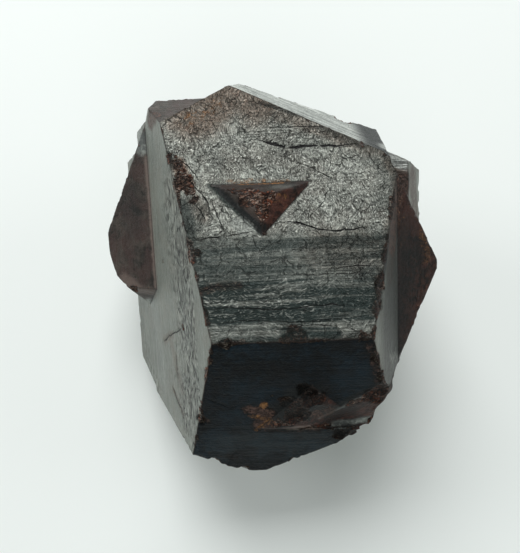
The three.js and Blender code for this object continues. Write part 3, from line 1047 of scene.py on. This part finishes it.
# What every skin has, unless its own look says otherwise.
PLAIN = dict(
    grain=2.6, grain_stretch=(1, 1, 1), fleck_stretch=(3, 3, 1), fold_stretch=(1.5, 2.1, 1),
    fold_from=0.45, crest=(0.4, 0.42, 0.37, 1), crested=0, patch=0.6, blush=0,
    blush_tone=(0.1, 0.08, 0.06, 1), crackle=0.08, grain_tone=0.8, grain_depth=0.2, mottle=0.6,
    mottle_depth=0.1, line_stretch=(0.1, 2.2, 1), line_tone=0.4, line_depth=0.1, rough=0.42,
    rough_range=0.15, metallic=0.3, specular=0.5, glint=0, glint_tone=(0.3, 0.29, 0.26, 1), pitted=0.3,
    fleck_depth=0.05, shadow=(0.01, 0.012, 0.012, 1), pale_dark=(0.1, 0.11, 0.105, 1),
    edge=(0.03, 0.02, 0.016, 1), broken_dark=(0.008, 0.005, 0.004, 1),
    broken_light=(0.15, 0.07, 0.042, 1), broken_glint=(0.48, 0.35, 0.28, 1),
)
LOOKS = dict(
    silver=dict(
        dark=(0.02, 0.021, 0.019, 1), light=(0.445, 0.468, 0.418, 1), fleck_stretch=(6.2, 3.4, 1),
        fold_stretch=(2.2, 1.4, 1), fold_from=0.41, blush=0.16, blush_tone=(0.16, 0.12, 0.09, 1),
        crackle=0.55, glint=0.7, glint_tone=(0.8, 0.83, 0.75, 1), pitted=0.8, fleck_depth=0.16,
        grain=2.4, grain_stretch=(1.2, 0.8, 1), grain_tone=1.25, grain_depth=0.18, line_tone=0.5,
        line_depth=0.16, rough=0.32, metallic=0.6, shadow=(0.012, 0.021, 0.019, 1),
        broken_light=(0.13, 0.082, 0.062, 1), broken_glint=(0.66, 0.58, 0.5, 1),
    ),
    # Near-black and weakly glossy: partly painted shade for the dark surroundings that the front face
    # mirrors.
    night=dict(
        dark=(0.0008, 0.0024, 0.0036, 1), light=(0.007, 0.018, 0.027, 1), patch=2.2, mottle=1.6,
        specular=0.11, blush=0.5, blush_tone=(0.006, 0.006, 0.006, 1),
        broken_light=(0.04, 0.033, 0.025, 1), broken_glint=(0.16, 0.14, 0.11, 1), metallic=0,
        line_depth=0.12, grain_depth=0.12,
    ),
    slate=dict(
        dark=(0.095, 0.106, 0.093, 1), light=(0.262, 0.284, 0.248, 1), line_tone=0.7, grain_tone=0.3,
        grain_depth=0.06, mottle_depth=0.16, pitted=0.12, crested=0.6, fold_stretch=(1.05, 2.9, 1),
        blush=0.35, blush_tone=(0.185, 0.175, 0.145, 1), metallic=0.2,
    ),
    # Light and striated: partly painted light for the grazing light that these faces catch.
    pale=dict(
        dark=(0.12, 0.13, 0.12, 1), light=(0.68, 0.71, 0.67, 1), metallic=0.4,
        line_stretch=(0.14, 2.6, 1), line_tone=1.9, line_depth=0.3, crackle=0.15,
    ),
    umber=dict(
        dark=(0.012, 0.01, 0.008, 1), light=(0.07, 0.055, 0.045, 1), patch=2.6, mottle=2,
        grain_tone=0.3, grain_depth=0.1, blush=0.75, blush_tone=(0.054, 0.03, 0.026, 1), specular=0.34,
        metallic=0,
    ),
    russet=dict(
        dark=(0.008, 0.004, 0.003, 1), light=(0.104, 0.04, 0.028, 1), patch=2.4, mottle=2.4,
        grain_tone=0.4, blush=0.35, blush_tone=(0.034, 0.014, 0.01, 1), glint=0.1,
        glint_tone=(0.3, 0.12, 0.05, 1), specular=0.24, metallic=0, grain_depth=0.2,
    ),
)

# ---- The crystal ----

# Facets that meet at more than this are a fold.
FOLD_ANGLE = math.radians(125)
FOLD_PASSES = 5


def relax_folds(mesh):
    """Evens out the few places where the pressed mesh folds back on itself."""
    fine = bmesh.new()
    fine.from_mesh(mesh)
    every_way = dict(use_axis_x=True, use_axis_y=True, use_axis_z=True)
    for _ in range(FOLD_PASSES):
        fine.normal_update()
        folded = [edge for edge in fine.edges if edge.calc_face_angle(0) > FOLD_ANGLE]
        corners = {corner for edge in folded for corner in edge.verts}
        corners = sorted(corners, key=lambda corner: corner.index)
        bmesh.ops.smooth_vert(fine, verts=corners, factor=0.5, **every_way)
    fine.to_mesh(mesh)
    fine.free()


def crystal_skin(cad):
    """The visible crystal: the fine mesh, marked and with its skins."""
    mesh = fine_mesh(cad)
    body = Body(mesh, cad)
    mark_body(body)
    mesh.vertices.foreach_set("co", (body.points * MM).astype(np.float32).ravel())
    relax_folds(mesh)
    mesh.materials.clear()
    for name in SKIN_NAMES:
        mesh.materials.append(skin_material(name, SimpleNamespace(**{**PLAIN, **LOOKS[name]})))
    write_attributes(mesh, body)
    write_lay(mesh, body)
    choose_skins(mesh, body)
    mesh.polygons.foreach_set("use_smooth", [True] * len(mesh.polygons))
    mesh.update()
    return new_object("twin_crystal_skin", mesh)


# ---- The studio ----


# The floor's half width (m) and how far below the crystal it lies, which keeps the two apart (mm).
FLOOR_REACH = 1.5
FLOOR_DROP = 0.02
# The lights face this place, at the crystal's middle (m).
MIDDLE = Vector((0, 0, 0.02))


def floor():
    """A wide, plain, pale floor just below the crystal."""
    material = bpy.data.materials.new("floor")
    material.use_nodes = True
    shader = material.node_tree.nodes["Principled BSDF"]
    shader.inputs["Base Color"].default_value = (0.86, 0.9, 0.88, 1)
    shader.inputs["Roughness"].default_value = 0.9
    shader.inputs["Specular IOR Level"].default_value = 0.2
    mesh = bpy.data.meshes.new("floor")
    corners = [(x * FLOOR_REACH, y * FLOOR_REACH, 0) for x, y in ((-1, -1), (1, -1), (1, 1), (-1, 1))]
    mesh.from_pydata(corners, [], [(0, 1, 2, 3)])
    mesh.materials.append(material)
    sheet = new_object("floor", mesh)
    sheet.location.z = -FLOOR_DROP * MM


def softbox(name, at, size, watts):
    """A square light that faces the object."""
    light = bpy.data.lights.new(name, "AREA")
    light.shape = "SQUARE"
    light.size = size
    light.energy = watts
    box = new_object(name, light)
    box.location = at
    box.rotation_euler = (MIDDLE - Vector(at)).to_track_quat("-Z", "Y").to_euler()


def studio():
    """Even pale light all round, a large light above the back, and three weaker ones."""
    world = bpy.data.worlds.new("studio")
    bpy.context.scene.world = world
    world.use_nodes = True
    backdrop = world.node_tree.nodes["Background"]
    backdrop.inputs["Color"].default_value = (0.89, 0.96, 0.93, 1)
    backdrop.inputs["Strength"].default_value = 0.225
    floor()
    softbox("key", (-0.05, 0.45, 0.55), 0.5, 4.4)
    softbox("left", (-0.60, 0.20, 0.40), 0.3, 1.1)
    softbox("right", (0.55, 0.05, 0.35), 0.3, 0.4)
    softbox("front", (0.05, -0.60, 0.40), 0.5, 0.74)


def camera():
    """The scene's camera, where the constants at the top put it."""
    lens = bpy.data.cameras.new("camera")
    lens.lens = CAMERA_LENS
    lens.sensor_width = CAMERA_SENSOR
    lens.clip_start = 0.001
    eye = new_object("camera", lens)
    forward = Vector(CAMERA_LOOKS).normalized()
    right = forward.cross(Vector(CAMERA_UP)).normalized()
    up = right.cross(forward)
    turn = Matrix((right, up, -forward)).transposed().to_4x4()
    eye.matrix_world = Matrix.Translation(Vector(CAMERA_AT) * MM) @ turn
    bpy.context.scene.camera = eye


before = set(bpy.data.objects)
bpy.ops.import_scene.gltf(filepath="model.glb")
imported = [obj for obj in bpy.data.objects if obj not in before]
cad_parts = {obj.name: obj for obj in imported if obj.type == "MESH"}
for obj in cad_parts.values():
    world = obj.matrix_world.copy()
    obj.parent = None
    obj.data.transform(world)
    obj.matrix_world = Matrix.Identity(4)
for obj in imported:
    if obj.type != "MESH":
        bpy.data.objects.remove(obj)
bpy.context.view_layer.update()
bpy.context.scene.view_settings.view_transform = "Standard"
camera()
studio()
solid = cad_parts[NODE]
crystal = crystal_skin(solid)
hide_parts(NODE)
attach(crystal, "root")
